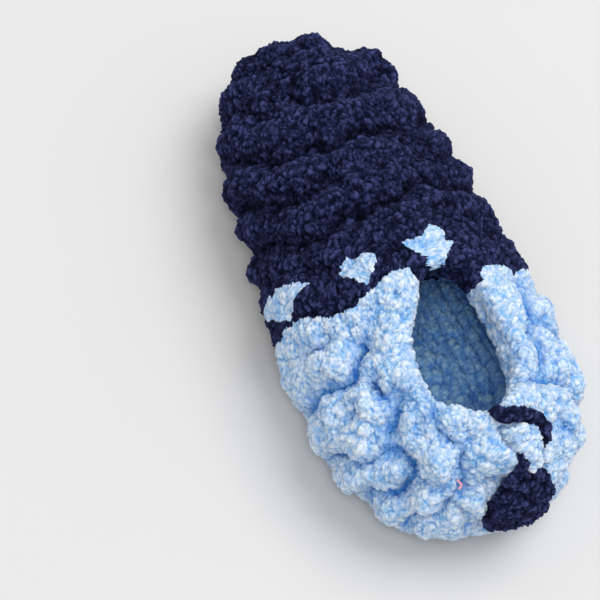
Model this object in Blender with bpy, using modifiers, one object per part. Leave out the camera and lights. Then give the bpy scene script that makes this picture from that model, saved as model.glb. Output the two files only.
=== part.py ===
"""Chunky knitted slipper, standing empty on its sole.

Frame: +Y from heel to toe, +X to the right, +Z up, ground at Z = 0,
origin under the middle of the slipper. Metres.
"""

import math

import bmesh
import bpy
import numpy as np

# ---------------------------------------------------------------- dimensions
LENGTH = 0.265  # heel to toe, over the knit
WALL = 0.0100  # thickness of the knitted wall
LIP = 0.0130  # thickness of the knit where the collar is rolled
LIP_ROUND = 0.0046  # rounding of the rolled collar
WIDEST = 0.025  # height of the slipper's widest level
TUCK = 0.017  # how far the side turns in under the foot
SOLE = 0.0030  # outsole thickness
SOLE_INSET = 0.011  # outsole edge, inside the widest outline
SOLE_ROUND = 0.0008  # outsole edge rounding
GAP = 0.0003  # between outsole and knit
UNDERSIDE = SOLE + GAP  # underside of the knitted floor
SHIFT = 0.0028  # moves the slipper so that its whole length is centred
TOE_SPRING = 0.0054  # rise of the toe end of the sole
SPRING_FROM = 0.080  # where the toe starts to rise
HEEL_SPRING = 0.0020
HEEL_SPRING_FROM = -0.108
PATCH_PROUD = 0.0050  # heel patch above the knit
PATCH_GAP = 0.0006
PATCH_ROUND = 0.0022
YARN = 0.0078  # heel loop diameter
YARN_GAP = 0.0006

# Plan outline: share of the length from the heel, half width there.
WIDTHS = (
    # share, half_width
    (0.00, 0.0700),
    (0.18, 0.0695),
    (0.36, 0.0620),
    (0.55, 0.0570),
    (0.80, 0.0585),
    (1.00, 0.0590),
)
HEEL_BLUNT = 0.66  # under 1 the end of the plan is blunter than an ellipse
TOE_BLUNT = 0.70

# Upper edge of the right half, from the heel's middle to the toe's middle.
# Up to the throat it is the collar; from there it is the ridge of the vamp.
THROAT = 0.50  # place of the throat along the outline
EDGE = (
    # along, x, y, z
    (0.00, 0.0000, -0.1050, 0.0710),
    (0.08, 0.0115, -0.1016, 0.0700),
    (0.17, 0.0190, -0.0900, 0.0670),
    (0.26, 0.0209, -0.0737, 0.0650),
    (0.34, 0.0205, -0.0588, 0.0670),
    (0.41, 0.0154, -0.0465, 0.0710),
    (0.46, 0.0082, -0.0397, 0.0742),
    (0.50, 0.0000, -0.0370, 0.0755),
    (0.62, 0.0000, -0.0110, 0.0755),
    (0.74, 0.0000, 0.0165, 0.0755),
    (0.86, 0.0000, 0.0465, 0.0755),
    (1.00, 0.0000, 0.0790, 0.0755),
)
# Height above the widest level, as a share of the table's, along the slipper.
LOWERING = (
    # y, share
    (-0.1325, 1.00),
    (-0.0300, 1.00),
    (0.0000, 0.985),
    (0.0350, 0.91),
    (0.0720, 0.79),
    (0.1050, 0.72),
    (0.1325, 0.70),
)
COLLAR_LEAN = math.radians(66)  # how far the wall has turned in at the collar
VAMP_LEAN = math.radians(90)

AROUND = 40  # columns of the half upper, an even number
# Rows of the half upper: -1 middle of the floor, 0 widest level, 1 upper edge.
LEVELS = (
    # level
    -1.00, -0.78, -0.60, -0.50, -0.41, -0.32, -0.23, -0.12,
    0.00, 0.10, 0.20, 0.30, 0.40, 0.50, 0.60, 0.70, 0.80, 0.90, 1.00,
)

# Heel patch: the stretch of the heel that it covers.
PATCH_ALONG = (-0.036, 0.064)  # signed: minus is the left side
PATCH_LEVELS = (-0.09, 0.50)
PATCH_ROWS, PATCH_COLUMNS = 12, 12

# Heel loop: route of the yarn over the collar's back and down the heel.
LOOP = (
    # along, level, lift of the yarn's middle above its rest on the knit
    (-0.024, 0.985, 0.0000),
    (-0.004, 0.970, 0.0002),
    (0.022, 0.955, 0.0003),
    (0.046, 0.925, 0.0003),
    (0.065, 0.870, 0.0003),
    (0.078, 0.800, 0.0002),
    (0.077, 0.735, 0.0001),
    (0.069, 0.690, 0.0000),
    (0.059, 0.645, 0.0000),
)
LOOP_POINTS = 25

COLOURS = {
    # name: (red, green, blue, roughness)
    "pale_blue_yarn": (0.42, 0.60, 0.84, 0.95),
    "navy_yarn": (0.013, 0.018, 0.052, 0.95),
    "grey_grip": (0.060, 0.060, 0.066, 0.85),
}


# ------------------------------------------------------------------- curves
def through(xs, ys, x):
    """Cubic through a table's rows that never overshoots between them."""
    xs, ys = np.asarray(xs, float), np.asarray(ys, float)
    x = np.clip(np.asarray(x, float), xs[0], xs[-1])
    step = np.diff(xs)
    slope = np.diff(ys) / step
    tangent = np.zeros_like(ys)
    before, after = slope[:-1], slope[1:]
    same = before * after > 0
    one = 2 * step[1:] + step[:-1]
    two = step[1:] + 2 * step[:-1]
    inner = tangent[1:-1]
    inner[same] = (one + two)[same] / (
        one[same] / before[same] + two[same] / after[same]
    )
    for end, a, b, p, q in (
        (0, step[0], step[1], slope[0], slope[1]),
        (-1, step[-1], step[-2], slope[-1], slope[-2]),
    ):
        value = ((2 * a + b) * p - a * q) / (a + b)
        if value * p <= 0:
            value = 0.0
        elif p * q <= 0 and abs(value) > 3 * abs(p):
            value = 3 * p
        tangent[end] = value
    i = np.clip(np.searchsorted(xs, x, side="right") - 1, 0, len(step) - 1)
    u = (x - xs[i]) / step[i]
    return (
        (1 + 2 * u) * (1 - u) ** 2 * ys[i]
        + u * (1 - u) ** 2 * step[i] * tangent[i]
        + u * u * (3 - 2 * u) * ys[i + 1]
        + u * u * (u - 1) * step[i] * tangent[i + 1]
    )


def ease(value):
    value = np.clip(value, 0, 1)
    return value * value * (3 - 2 * value)


def plan_outline(samples=1201):
    """Widest outline of the right half: place along it, x and y."""
    turn = np.linspace(0, math.pi, samples)
    y = -LENGTH / 2 * np.cos(turn)
    share = (y + LENGTH / 2) / LENGTH
    rows = np.array(WIDTHS)
    half = through(rows[:, 0], rows[:, 1], share)
    blunt = np.where(turn < math.pi / 2, HEEL_BLUNT, TOE_BLUNT)
    x = half * np.sin(turn) ** blunt
    x[0] = x[-1] = 0.0
    along = np.concatenate([[0], np.cumsum(np.hypot(np.diff(x), np.diff(y)))])
    return along / along[-1], x, y


ALONG, PLAN_X, PLAN_Y = plan_outline()


def spring(y):
    """Lift of toe and heel off the ground."""
    toe = ease((y - SPRING_FROM) / (LENGTH / 2 - SPRING_FROM))
    heel = ease((HEEL_SPRING_FROM - y) / (LENGTH / 2 + HEEL_SPRING_FROM))
    return TOE_SPRING * toe + HEEL_SPRING * heel


def knit(along, level):
    """A point on the outside of the upper, mirrored for a negative place."""
    side = np.where(np.asarray(along) < 0, -1.0, 1.0)
    s, t = np.broadcast_arrays(np.abs(np.asarray(along, float)), level)
    plan_x = np.interp(s, ALONG, PLAN_X)
    plan_y = np.interp(s, ALONG, PLAN_Y)
    rows = np.array(EDGE)
    edge_x, edge_y, edge_z = (through(rows[:, 0], rows[:, k], s) for k in (1, 2, 3))
    # Above the widest level the wall leans in to its upper edge.
    most = COLLAR_LEAN + (VAMP_LEAN - COLLAR_LEAN) * ease((s - 0.38) / 0.14)
    lean = np.clip(t, 0, 1) * most
    across = (1 - np.cos(lean) ** 0.9) / (1 - np.cos(most) ** 0.9)
    rise = np.sin(lean) ** 0.92 / np.sin(most) ** 0.92
    upper = (
        plan_x + (edge_x - plan_x) * across,
        plan_y + (edge_y - plan_y) * across,
        WIDEST + (edge_z - WIDEST) * rise,
    )
    # Below it the wall tucks under in a quarter of an ellipse, then runs flat.
    below = np.clip(-t, 0, 1)
    turned = np.clip(below / 0.55, 0, 1) * math.pi / 2
    middle_y = 0.80 * LENGTH / 2 * (2 * s - 1)
    to_x, to_y = -plan_x, middle_y - plan_y
    reach = np.hypot(to_x, to_y)
    run = TUCK * (1 - np.cos(turned)) + (reach - TUCK) * np.clip(
        (below - 0.55) / 0.45, 0, 1
    )
    share = np.array(LOWERING)
    upper = (
        *upper[:2],
        WIDEST + (upper[2] - WIDEST) * through(share[:, 0], share[:, 1], upper[1]),
    )
    lower = (
        plan_x + to_x / reach * run,
        plan_y + to_y / reach * run,
        UNDERSIDE + (WIDEST - UNDERSIDE) * (1 - np.sin(turned)),
    )
    x, y, z = (np.where(t >= 0, a, b) for a, b in zip(upper, lower))
    x = np.where((t >= 1) & (s >= THROAT), 0.0, x)
    z = z + spring(y) * np.clip(1 - (z - UNDERSIDE) / 0.060, 0, 1)
    return np.stack([x * side, y, z], -1)


def knit_normal(along, level, reach=1e-3):
    """Unit direction out of the knit at a point."""
    level = min(level, 1 - reach)
    d_along = knit(along + reach, level) - knit(along - reach, level)
    d_level = knit(along, level + reach) - knit(along, level - reach)
    out = np.cross(d_along, d_level)
    return out / np.linalg.norm(out)


# ------------------------------------------------------------------ helpers
def clear_scene():
    for obj in list(bpy.data.objects):
        bpy.data.objects.remove(obj, do_unlink=True)


def yarn_material(name):
    red, green, blue, rough = COLOURS[name]
    made = bpy.data.materials.new(name)
    made.use_nodes = True
    shader = made.node_tree.nodes["Principled BSDF"]
    shader.inputs["Base Color"].default_value = (red, green, blue, 1.0)
    shader.inputs["Roughness"].default_value = rough
    shader.inputs["Metallic"].default_value = 0.0
    made.diffuse_color = (red, green, blue, 1.0)
    return made


def mapped_grid(columns, rows, place, outward=None):
    """A grid over the unit square, each vertex put by place(u, v)."""
    bm = bmesh.new()
    bmesh.ops.create_grid(bm, x_segments=columns, y_segments=rows, size=0.5)
    for vert in bm.verts:
        vert.co = place(vert.co.x + 0.5, vert.co.y + 0.5)
    bm.normal_update()
    if outward is not None:
        facing = sum(outward(f.calc_center_median()).dot(f.normal) for f in bm.faces)
        if facing < 0:
            bmesh.ops.reverse_faces(bm, faces=bm.faces)
    return bm


def add_object(name, bm, material, collection):
    mesh = bpy.data.meshes.new(name)
    bm.to_mesh(mesh)
    bm.free()
    obj = bpy.data.objects.new(name, mesh)
    collection.objects.link(obj)
    obj.data.materials.append(material)
    obj.data.shade_smooth()
    return obj


def mirror_in_x(obj):
    mod = obj.modifiers.new("both_sides", "MIRROR")
    mod.use_axis = (True, False, False)
    mod.use_mirror_merge = True
    mod.merge_threshold = 0.0001
    return mod


def thicken(obj, thickness, offset, group=None, thin=1.0):
    mod = obj.modifiers.new("thickness", "SOLIDIFY")
    mod.thickness = thickness
    mod.offset = offset
    mod.use_even_offset = True
    mod.use_rim = True
    if group:
        mod.vertex_group = group
        mod.thickness_vertex_group = thin
    return mod


def round_edges(obj, width, segments, angle):
    mod = obj.modifiers.new("rounding", "BEVEL")
    mod.width = width
    mod.segments = segments
    mod.limit_method = "ANGLE"
    mod.angle_limit = math.radians(angle)
    return mod


# -------------------------------------------------------------------- parts
def make_upper(collection):
    from mathutils import Vector

    levels = np.array(LEVELS)
    ticks = np.linspace(0, 1, len(levels))

    def place(u, v):
        s = round(u * AROUND) / AROUND
        t = levels[int(round(v * (len(levels) - 1)))]
        return Vector(knit(s, t))

    def outward(point):
        return point - Vector((0.0, point.y * 0.7, 0.035))

    bm = mapped_grid(AROUND, len(ticks) - 1, place, outward)
    obj = add_object("upper", bm, yarn_material("pale_blue_yarn"), collection)
    lip = obj.vertex_groups.new(name="lip")
    rows = np.array(EDGE)
    for vert in obj.data.vertices:
        s = np.clip((vert.co.y + 0.12) / 0.12, 0, 1)
        collar = np.array([r[1:] for r in rows if r[0] <= THROAT])
        near = float(np.linalg.norm(collar - np.array(vert.co), axis=1).min())
        weight = float(ease(1 - near / 0.030)) if s < 1 else 0.0
        lip.add([vert.index], weight, "REPLACE")
    mirror_in_x(obj)
    thicken(obj, LIP, -1.0, "lip", WALL / LIP)
    round_edges(obj, LIP_ROUND, 3, 62)
    return obj


def make_outsole(collection):
    from mathutils import Vector

    def place(u, v):
        s = round(u * 48) / 48
        x, y = np.interp(s, ALONG, PLAN_X), np.interp(s, ALONG, PLAN_Y)
        middle = 0.80 * LENGTH / 2 * (2 * s - 1)
        reach = math.hypot(x, middle - y)
        run = SOLE_INSET + (reach - SOLE_INSET) * v
        x, y = x - x / reach * run, y + (middle - y) / reach * run
        if v > 0.999:
            x = 0.0
        return Vector((x, y, float(spring(y))))

    def outward(_):
        return Vector((0, 0, -1))

    bm = mapped_grid(48, 4, place, outward)
    obj = add_object("outsole", bm, yarn_material("grey_grip"), collection)
    mirror_in_x(obj)
    thicken(obj, SOLE, -1.0)
    round_edges(obj, SOLE_ROUND, 2, 50)
    return obj


def make_heel_patch(collection):
    from mathutils import Vector

    def place(u, v):
        a, b = 2 * u - 1, 2 * v - 1
        # A square with its corners drawn in.
        a, b = a * math.sqrt(1 - 0.36 * b * b), b * math.sqrt(1 - 0.36 * a * a)
        s = PATCH_ALONG[0] + (PATCH_ALONG[1] - PATCH_ALONG[0]) * (a + 1) / 2
        t = PATCH_LEVELS[0] + (PATCH_LEVELS[1] - PATCH_LEVELS[0]) * (b + 1) / 2
        return Vector(knit(s, t) + knit_normal(s, t) * PATCH_GAP)

    def outward(point):
        return point - Vector((0.0, -0.09, 0.035))

    bm = mapped_grid(PATCH_COLUMNS, PATCH_ROWS, place, outward)
    obj = add_object("heel_patch", bm, yarn_material("navy_yarn"), collection)
    thicken(obj, PATCH_PROUD, 1.0)
    round_edges(obj, PATCH_ROUND, 2, 50)
    return obj


def make_heel_loop(collection):
    rows = np.array(LOOP)
    ticks = np.linspace(0, 1, len(rows))
    at = np.linspace(0, 1, LOOP_POINTS)
    route = []
    for s, t, lift in zip(*(through(ticks, rows[:, k], at) for k in range(3))):
        out = knit_normal(s, t)
        route.append(knit(s, t) + out * (YARN / 2 + YARN_GAP + lift))
    curve = bpy.data.curves.new("heel_loop", "CURVE")
    curve.dimensions = "3D"
    curve.bevel_depth = YARN / 2
    curve.bevel_resolution = 2
    curve.use_fill_caps = True
    spline = curve.splines.new("POLY")
    spline.points.add(len(route) - 1)
    for point, co in zip(spline.points, route):
        point.co = (*co, 1.0)
    curve.materials.append(yarn_material("navy_yarn"))
    obj = bpy.data.objects.new("heel_loop", curve)
    collection.objects.link(obj)
    return obj


def main():
    clear_scene()
    collection = bpy.data.collections.new("knitted_slipper")
    bpy.context.scene.collection.children.link(collection)
    middle = bpy.data.objects.new("slipper", None)
    middle.location = (0.0, SHIFT, 0.0)
    collection.objects.link(middle)
    for make in (make_upper, make_outsole, make_heel_patch, make_heel_loop):
        make(collection).parent = middle


main()
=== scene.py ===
"""Looks of a chunky knitted slipper: chenille knit, colour change, heel yarns,
grip sole, floor, light and camera. Metres in the scene, millimetres in the
fields that shape the knit."""

import math

import bmesh
import bpy
import numpy as np
from mathutils import Matrix, Vector
from mathutils.kdtree import KDTree


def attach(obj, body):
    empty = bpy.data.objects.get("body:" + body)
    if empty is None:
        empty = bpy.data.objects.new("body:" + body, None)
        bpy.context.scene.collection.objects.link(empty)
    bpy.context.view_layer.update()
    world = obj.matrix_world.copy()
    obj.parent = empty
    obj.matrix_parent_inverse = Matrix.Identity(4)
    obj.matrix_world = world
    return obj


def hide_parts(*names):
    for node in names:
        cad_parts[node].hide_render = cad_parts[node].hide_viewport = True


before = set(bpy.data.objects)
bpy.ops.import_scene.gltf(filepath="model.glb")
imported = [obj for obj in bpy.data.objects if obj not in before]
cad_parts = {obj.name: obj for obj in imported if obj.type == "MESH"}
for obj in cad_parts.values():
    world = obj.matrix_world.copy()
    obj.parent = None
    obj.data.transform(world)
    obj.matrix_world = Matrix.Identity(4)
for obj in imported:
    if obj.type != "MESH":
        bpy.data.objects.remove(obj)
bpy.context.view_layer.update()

# ---------------------------------------------------------------- dimensions
MM = 0.001
LENGTH = 0.265
WALL = 0.0100
LIP = 0.0130
LIP_ROUND = 0.0046
WIDEST = 0.025
TUCK = 0.017
UNDERSIDE = 0.0033
SHIFT = 0.0028
TOE_SPRING = 0.0054
SPRING_FROM = 0.080
HEEL_SPRING = 0.0020
HEEL_SPRING_FROM = -0.108
HEEL_BLUNT = 0.66
TOE_BLUNT = 0.70
THROAT = 0.50
COLLAR_LEAN = math.radians(66)
VAMP_LEAN = math.radians(90)
YARN = 0.0078
YARN_GAP = 0.0006

WIDTHS = (
    # share of the length, half_width
    (0.00, 0.0700),
    (0.18, 0.0695),
    (0.36, 0.0620),
    (0.55, 0.0570),
    (0.80, 0.0585),
    (1.00, 0.0590),
)
EDGE = (
    # along, x, y, z
    (0.00, 0.0000, -0.1050, 0.0710),
    (0.08, 0.0115, -0.1016, 0.0700),
    (0.17, 0.0190, -0.0900, 0.0670),
    (0.26, 0.0209, -0.0737, 0.0650),
    (0.34, 0.0205, -0.0588, 0.0670),
    (0.41, 0.0154, -0.0465, 0.0710),
    (0.46, 0.0082, -0.0397, 0.0742),
    (0.50, 0.0000, -0.0370, 0.0755),
    (0.62, 0.0000, -0.0110, 0.0755),
    (0.74, 0.0000, 0.0165, 0.0755),
    (0.86, 0.0000, 0.0465, 0.0755),
    (1.00, 0.0000, 0.0790, 0.0755),
)
LOWERING = (
    # y, share of the height
    (-0.1325, 1.00),
    (-0.0300, 1.00),
    (0.0000, 0.985),
    (0.0350, 0.91),
    (0.0720, 0.79),
    (0.1050, 0.72),
    (0.1325, 0.70),
)
LEVELS = (
    # rows of the upper, from the floor's middle to the upper edge
    -1.00, -0.78, -0.60, -0.50, -0.41, -0.32, -0.23, -0.12,
    0.00, 0.10, 0.20, 0.30, 0.40, 0.50, 0.60, 0.70, 0.80, 0.90, 1.00,
)
AROUND = 80

# How far the visible collar is drawn outwards from its CAD line.
RIM_OUT = (
    # along, mm
    (-.50, 9.5), (-.475, 7.0), (-.45, 3.0), (-.42, 1.2), (-.36, 2.0), (-.28, 3.0), (-.20, 3.0), (-.14, 1.4), (-.08, .5),
    (.01, .2), (.05, -.8), (.10, -2.6), (.15, -2.4), (.19, .2), (.24, 2.6), (.36, 3.4),
    (.41, 6.2), (.46, 8.8), (.50, 9.5),
)

# Voxel of the knit's surface and of its hidden stretches, metres.
FINE = 0.00054
COARSE = 0.0020

# Creases between the knitted rolls, in the knit's own places: (along, level),
# along is minus on the left side and grows from the heel's middle to the toe.
CREASES = (
    # name, depth mm, radius mm, places
    ("toe_1", 4.2, 10, ((-.885, -.30), (-.885, -.10), (-.890, .141), (-.905, .441), (-.948, .524), (-.993, .599), (.955, .614), (.915, .636), (.873, .651), (.855, .50), (.850, .30), (.860, .05), (.870, -.25))),
    ("toe_2a", 3.8, 10, ((-.815, -.25), (-.815, .122), (-.818, .336), (-.810, .449), (-.828, .633))),
    ("toe_2b", 4.6, 10, ((-.880, .595), (-.885, .681), (-.880, .738), (-.902, .831), (.963, .959), (.905, .816), (.857, .636), (.820, .453), (.800, .25), (.795, .00), (.800, -.25))),
    ("toe_3", 5.0, 11, ((-.750, -.28), (-.750, -.054), (-.720, .284), (-.718, .407), (-.722, .520), (-.748, .644), (-.780, .722), (-.780, .797), (-.815, .876), (-.877, .985), (.833, .906), (.795, .760), (.770, .696), (.745, .633), (.735, .50), (.730, .30), (.735, .00), (.740, -.25))),
    ("toe_3b", 4.2, 9, ((.768, .715), (.742, .749), (.713, .752), (.673, .606), (.660, .45), (.655, .20), (.660, -.20))),
    ("toe_4", 4.8, 11, ((-.680, -.30), (-.672, -.080), (-.647, .205), (-.640, .306), (-.635, .456), (-.650, .580), (-.677, .677), (-.700, .749), (-.700, .801), (-.715, .857))),
    ("toe_4b", 2.2, 8, ((-.700, .801), (-.740, .880), (-.780, .990), (.795, .992))),
    ("toe_5", 4.8, 11, ((-.625, -.30), (-.612, -.144), (-.578, .175), (-.573, .291), (-.560, .392), (-.560, .501), (-.565, .573), (-.590, .647), (-.620, .734), (-.630, .824), (-.662, .899), (-.685, .966), (.698, .978), (.698, .929), (.680, .846), (.643, .734), (.620, .659), (.600, .50), (.590, .30), (.590, .00), (.600, -.25))),
    ("toe_6", 3.4, 9, ((-.557, -.30), (-.550, -.151), (-.518, .156), (-.515, .377), (-.500, .486), (-.512, .629))),
    ("toe_7", 2.2, 7, ((-.552, .756), (-.562, .827), (-.583, .921))),
    ("toe_8", 3.4, 8, ((.617, .812), (.562, .730), (.535, .670), (.508, .600), (.500, .40), (.500, .10), (.510, -.20))),
    ("toe_9", 3.4, 9, ((-.960, -.25), (-.955, .05), (-.960, .28), (-.985, .34), (.975, .36), (.935, .30), (.925, .05), (.930, -.25))),
    ("heel_1a", 2.6, 7, ((-.395, .198), (-.395, .299), (-.390, .419), (-.395, .546), (-.395, .621))),
    ("heel_1b", 5.2, 10, ((-.385, .767), (-.370, .741), (-.355, .708), (-.335, .629), (-.318, .557), (-.320, .471), (-.325, .359), (-.333, .254), (-.335, .05), (-.330, -.25))),
    ("heel_2", 4.4, 9, ((-.320, .644), (-.302, .689), (-.280, .696), (-.255, .696), (-.235, .666))),
    ("heel_3", 3.8, 8, ((-.297, .467), (-.280, .509), (-.265, .422), (-.267, .347))),
    ("heel_4a", 5.6, 10, ((-.262, .880), (-.257, .850), (-.237, .779), (-.225, .685), (-.215, .587), (-.208, .516), (-.203, .467))),
    ("heel_4b", 5.6, 9, ((-.203, .467), (-.185, .512), (-.165, .497), (-.145, .426), (-.147, .302), (-.150, .201), (-.172, .089), (-.185, .055), (-.190, -.10), (-.190, -.28))),
    ("heel_5", 4.4, 9, ((-.225, .990), (-.205, .960), (-.172, .895), (-.142, .820), (-.110, .767), (-.073, .760))),
    ("heel_6", 5.0, 9, ((-.073, .809), (-.083, .696), (-.080, .580), (-.073, .482), (-.085, .318))),
    ("heel_7", 4.4, 8, ((-.127, -.25), (-.127, -.110), (-.122, .029), (-.107, .078), (-.090, .149), (-.083, .269), (-.070, .336))),
    ("heel_8", 4.0, 9, ((-.267, -.25), (-.267, -.170), (-.252, .040), (-.240, .126), (-.215, .201), (-.203, .330), (-.203, .467))),
    ("heel_9", 3.4, 7, ((-.083, .295), (-.070, .239), (-.047, .085), (-.040, -.15))),
    ("heel_10", 3.0, 7, ((-.193, .932), (-.175, .854), (-.175, .767), (-.172, .651))),
    ("heel_11", 3.0, 8, ((-.145, .426), (-.118, .410), (-.095, .430), (-.080, .480))),
    ("heel_12", 2.6, 7, ((-.333, .254), (-.300, .180), (-.262, .160))),
    ("right_1", 6.0, 10, ((.400, .603), (.373, .647), (.330, .741), (.298, .820), (.280, .745), (.232, .809), (.193, .831))),
    ("right_2", 6.4, 9, ((.140, .995), (.166, .950), (.188, .870), (.205, .790), (.214, .625), (.214, .385), (.215, .10), (.215, -.25))),
    ("right_3", 3.2, 7, ((.308, .978), (.270, .974), (.213, .960), (.193, .929))),
    ("right_4", 4.6, 9, ((.330, .741), (.335, .60), (.325, .40), (.330, .15), (.330, -.25))),
    ("right_5", 3.8, 9, ((.150, .700), (.140, .50), (.150, .30), (.145, .05), (.150, -.25))),
    ("right_6", 3.4, 8, ((.220, .450), (.245, .420), (.275, .450), (.325, .420))),
    ("right_7", 3.0, 8, ((.400, .603), (.395, .40), (.400, .15), (.400, -.25))),
)

# Lumps of the knit that stand out, (along, level, height mm, radius mm).
LUMPS = (
    (-.265, .603, 2.6, 9.0),
    (-.203, .089, 2.4, 9.0),
    (-.170, .381, 2.4, 7.0),
    (-.155, .014, 2.2, 9.0),
    (-.110, .230, 2.6, 8.0),
    (-.110, .560, 2.6, 9.0),
    (-.050, .690, 2.0, 8.0),
    (-.260, .250, 2.2, 9.0),
    (-.348, .441, 1.8, 10.0),
    (-.127, .906, 1.6, 9.0),
    (.150, .420, 1.4, 9.0),
    (.385, .970, 1.8, 6.0),
    (.345, .980, 1.6, 5.5),
    (.300, .980, 1.8, 6.0),
    (.255, .980, 1.6, 5.5),
    (.215, .975, 1.8, 6.0),
    (.270, .560, 2.4, 9.0),
    (.275, .180, 2.2, 10.0),
    (.370, .400, 2.2, 9.0),
    (.110, .300, 1.8, 8.0),
    (-.985, .640, 2.2, 8.0),
    (.900, .640, 2.6, 9.0),
    (-.940, .330, 1.6, 9.0),
    (.950, .200, 1.6, 9.0),
    (.850, .310, 5.2, 9.0),
    (.872, .290, 1.8, 8.0),
    (.905, .390, -3.6, 8.0),
    (.935, .470, -2.0, 8.0),
    (-.912, .270, -3.2, 9.0),
    (-.955, .410, 2.6, 9.0),
    (-.866, .040, 2.0, 9.0),
    (.985, .525, 3.6, 4.5),
    (.100, .120, -2.8, 20.0),
    (.150, .450, -1.6, 16.0),
    (.600, .500, -2.0, 26.0),
    (.500, .530, -1.8, 22.0),
    (.720, .380, -1.4, 18.0),
)
# Ridges of the knit that stand out: name, height mm, radius mm, places.
RIDGES = (
    ("rear_roll", 4.6, 8, ((.060, .995), (.100, .980), (.136, .905), (.157, .790), (.162, .660), (.152, .540), (.132, .440))),
    ("right_rim", 1.6, 9, ((.400, .930), (.340, .900), (.290, .890), (.240, .900))),
    ("left_rim", 1.2, 9, ((-.440, .930), (-.380, .920), (-.320, .910), (-.270, .920))),
)

# Where the colour changes from pale (heel) to navy (toe).
CHANGE_LEFT = (
    # level, along
    (-1.0, .440), (-.136, .438), (.120, .444), (.242, .444), (.347, .440), (.490, .427),
    (.636, .425), (.692, .429), (.749, .444), (.794, .460), (.831, .478), (.857, .487),
    (.921, .487), (.940, .484), (.974, .469), (1.0, .461),
)
CHANGE_RIGHT = (
    # level, along
    (-1.0, .455), (.200, .440), (.573, .423), (.659, .427), (.738, .434), (.869, .435),
    (.944, .437), (.989, .427), (1.0, .415),
)

# Pale stitches in the navy: outlines in (along, level), and one on the top of
# the vamp in x, y mm.
FLECK_LEFT = ((-.507, .100), (-.505, .200), (-.498, .320), (-.487, .395), (-.474, .320), (-.460, .270), (-.448, .215), (-.461, .110), (-.488, -.030), (-.508, -.060))
FLECK_TOP = ((-.488, .570), (-.522, .652), (-.537, .778), (-.512, .778), (-.464, .748))
FLECK_VAMP = ((-.573, .925), (-.587, .970), (.600, .996), (.598, .955), (.593, .925), (.570, .890), (.552, .895), (.538, .854), (.527, .900), (.529, .950), (.531, .989), (-.520, .989), (-.545, .992), (-.562, .962))

# Pale flap beside the heel's yarn end, (along, level).
FLAP = ((-.007, .865), (.028, .869), (.062, .816), (.066, .715), (.060, .614), (.045, .524), (.028, .486), (.018, .633))

LOOP = (
    # along, level, lift mm: route of the navy yarn end over the heel
    (-.020, .985, 0.0),
    (.000, .968, 0.2),
    (.026, .948, 0.3),
    (.049, .915, 0.3),
    (.066, .860, 0.3),
    (.076, .795, 0.2),
    (.073, .730, 0.0),
    (.064, .675, -0.6),
    (.056, .630, -0.8),
)
PATCH_ALONG = (-.036, .064)
PATCH_LEVELS = (-.09, .50)
STRAND = (
    # along, level, lift mm: thin end of the navy yarn above the patch
    (.014, .690, 0.6),
    (.021, .650, 1.8),
    (.020, .600, 2.6),
    (.011, .550, 3.2),
    (.001, .510, 3.6),
    (-.010, .480, 3.4),
)


# ------------------------------------------------------------ surface of knit
def through(xs, ys, x):
    """Cubic through a table's rows that never overshoots between them."""
    xs, ys = np.asarray(xs, float), np.asarray(ys, float)
    x = np.clip(np.asarray(x, float), xs[0], xs[-1])
    step = np.diff(xs)
    slope = np.diff(ys) / step
    tangent = np.zeros_like(ys)
    before, after = slope[:-1], slope[1:]
    same = before * after > 0
    one = 2 * step[1:] + step[:-1]
    two = step[1:] + 2 * step[:-1]
    inner = tangent[1:-1]
    inner[same] = (one + two)[same] / (
        one[same] / before[same] + two[same] / after[same]
    )
    for end, a, b, p, q in (
        (0, step[0], step[1], slope[0], slope[1]),
        (-1, step[-1], step[-2], slope[-1], slope[-2]),
    ):
        value = ((2 * a + b) * p - a * q) / (a + b)
        if value * p <= 0:
            value = 0.0
        elif p * q <= 0 and abs(value) > 3 * abs(p):
            value = 3 * p
        tangent[end] = value
    i = np.clip(np.searchsorted(xs, x, side="right") - 1, 0, len(step) - 1)
    u = (x - xs[i]) / step[i]
    return (
        (1 + 2 * u) * (1 - u) ** 2 * ys[i]
        + u * (1 - u) ** 2 * step[i] * tangent[i]
        + u * u * (3 - 2 * u) * ys[i + 1]
        + u * u * (u - 1) * step[i] * tangent[i + 1]
    )


def ease(value):
    value = np.clip(value, 0, 1)
    return value * value * (3 - 2 * value)


def plan_outline(samples=1201):
    turn = np.linspace(0, math.pi, samples)
    y = -LENGTH / 2 * np.cos(turn)
    share = (y + LENGTH / 2) / LENGTH
    rows = np.array(WIDTHS)
    half = through(rows[:, 0], rows[:, 1], share)
    blunt = np.where(turn < math.pi / 2, HEEL_BLUNT, TOE_BLUNT)
    x = half * np.sin(turn) ** blunt
    x[0] = x[-1] = 0.0
    along = np.concatenate([[0], np.cumsum(np.hypot(np.diff(x), np.diff(y)))])
    return along / along[-1], x, y


ALONG, PLAN_X, PLAN_Y = plan_outline()
EDGE_ROWS, SHARE_ROWS = np.array(EDGE), np.array(LOWERING)


def spring(y):
    toe = ease((y - SPRING_FROM) / (LENGTH / 2 - SPRING_FROM))
    heel = ease((HEEL_SPRING_FROM - y) / (LENGTH / 2 + HEEL_SPRING_FROM))
    return TOE_SPRING * toe + HEEL_SPRING * heel


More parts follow.
